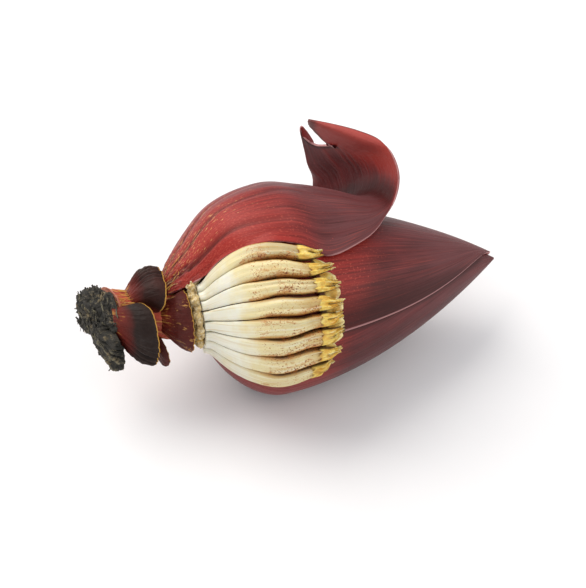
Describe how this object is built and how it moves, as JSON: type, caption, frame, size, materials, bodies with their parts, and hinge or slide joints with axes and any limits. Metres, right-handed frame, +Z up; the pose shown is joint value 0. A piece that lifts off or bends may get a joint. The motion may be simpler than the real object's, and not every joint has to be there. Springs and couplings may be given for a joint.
{
  "type": "banana blossom",
  "caption": "Banana blossom lying on its side: a pointed bud of dark red bracts, one bract curled back, a hand of pale yellow-tipped flowers, and a cut stalk with the dark bases of shed bracts.",
  "frame": {"origin": "on the surface the blossom lies on, under the middle of its bounding box", "axes": "+X runs along the bud from the stalk to the tip, -Y is the side where the flowers show, +Z is up"},
  "size_m": [0.2106, 0.1282, 0.1007],
  "materials": {
    "bract": "fleshy bract, dark red with a greyish bloom and fine veins",
    "flower": "smooth waxy cream petals with rust specks and yellow tips",
    "crown": "dry corky tissue",
    "stalk": "fibrous orange-red stalk",
    "cut": "dried, blackened cut face with fibres",
    "stub": "dried near-black bract bases with golden torn rims"
  },
  "bodies": {
    "root": {"bud_core": "bract", "bract_third": "bract", "bract_second": "bract", "bract_curled": "bract", "flower_1": "flower", "flower_2": "flower", "flower_3": "flower", "flower_4": "flower", "flower_5": "flower", "flower_6": "flower", "flower_7": "flower", "flower_8": "flower", "flower_second_row": "flower", "flower_hand_covered": "flower", "flower_crown": "crown", "stalk": "stalk", "stalk_cut_end": "cut", "bract_stub_top": "stub", "bract_stub_front": "stub", "bract_stub_low": "stub", "bract_stub_side": "stub", "bract_stub_collar": "stub"}
  },
  "joints": []
}
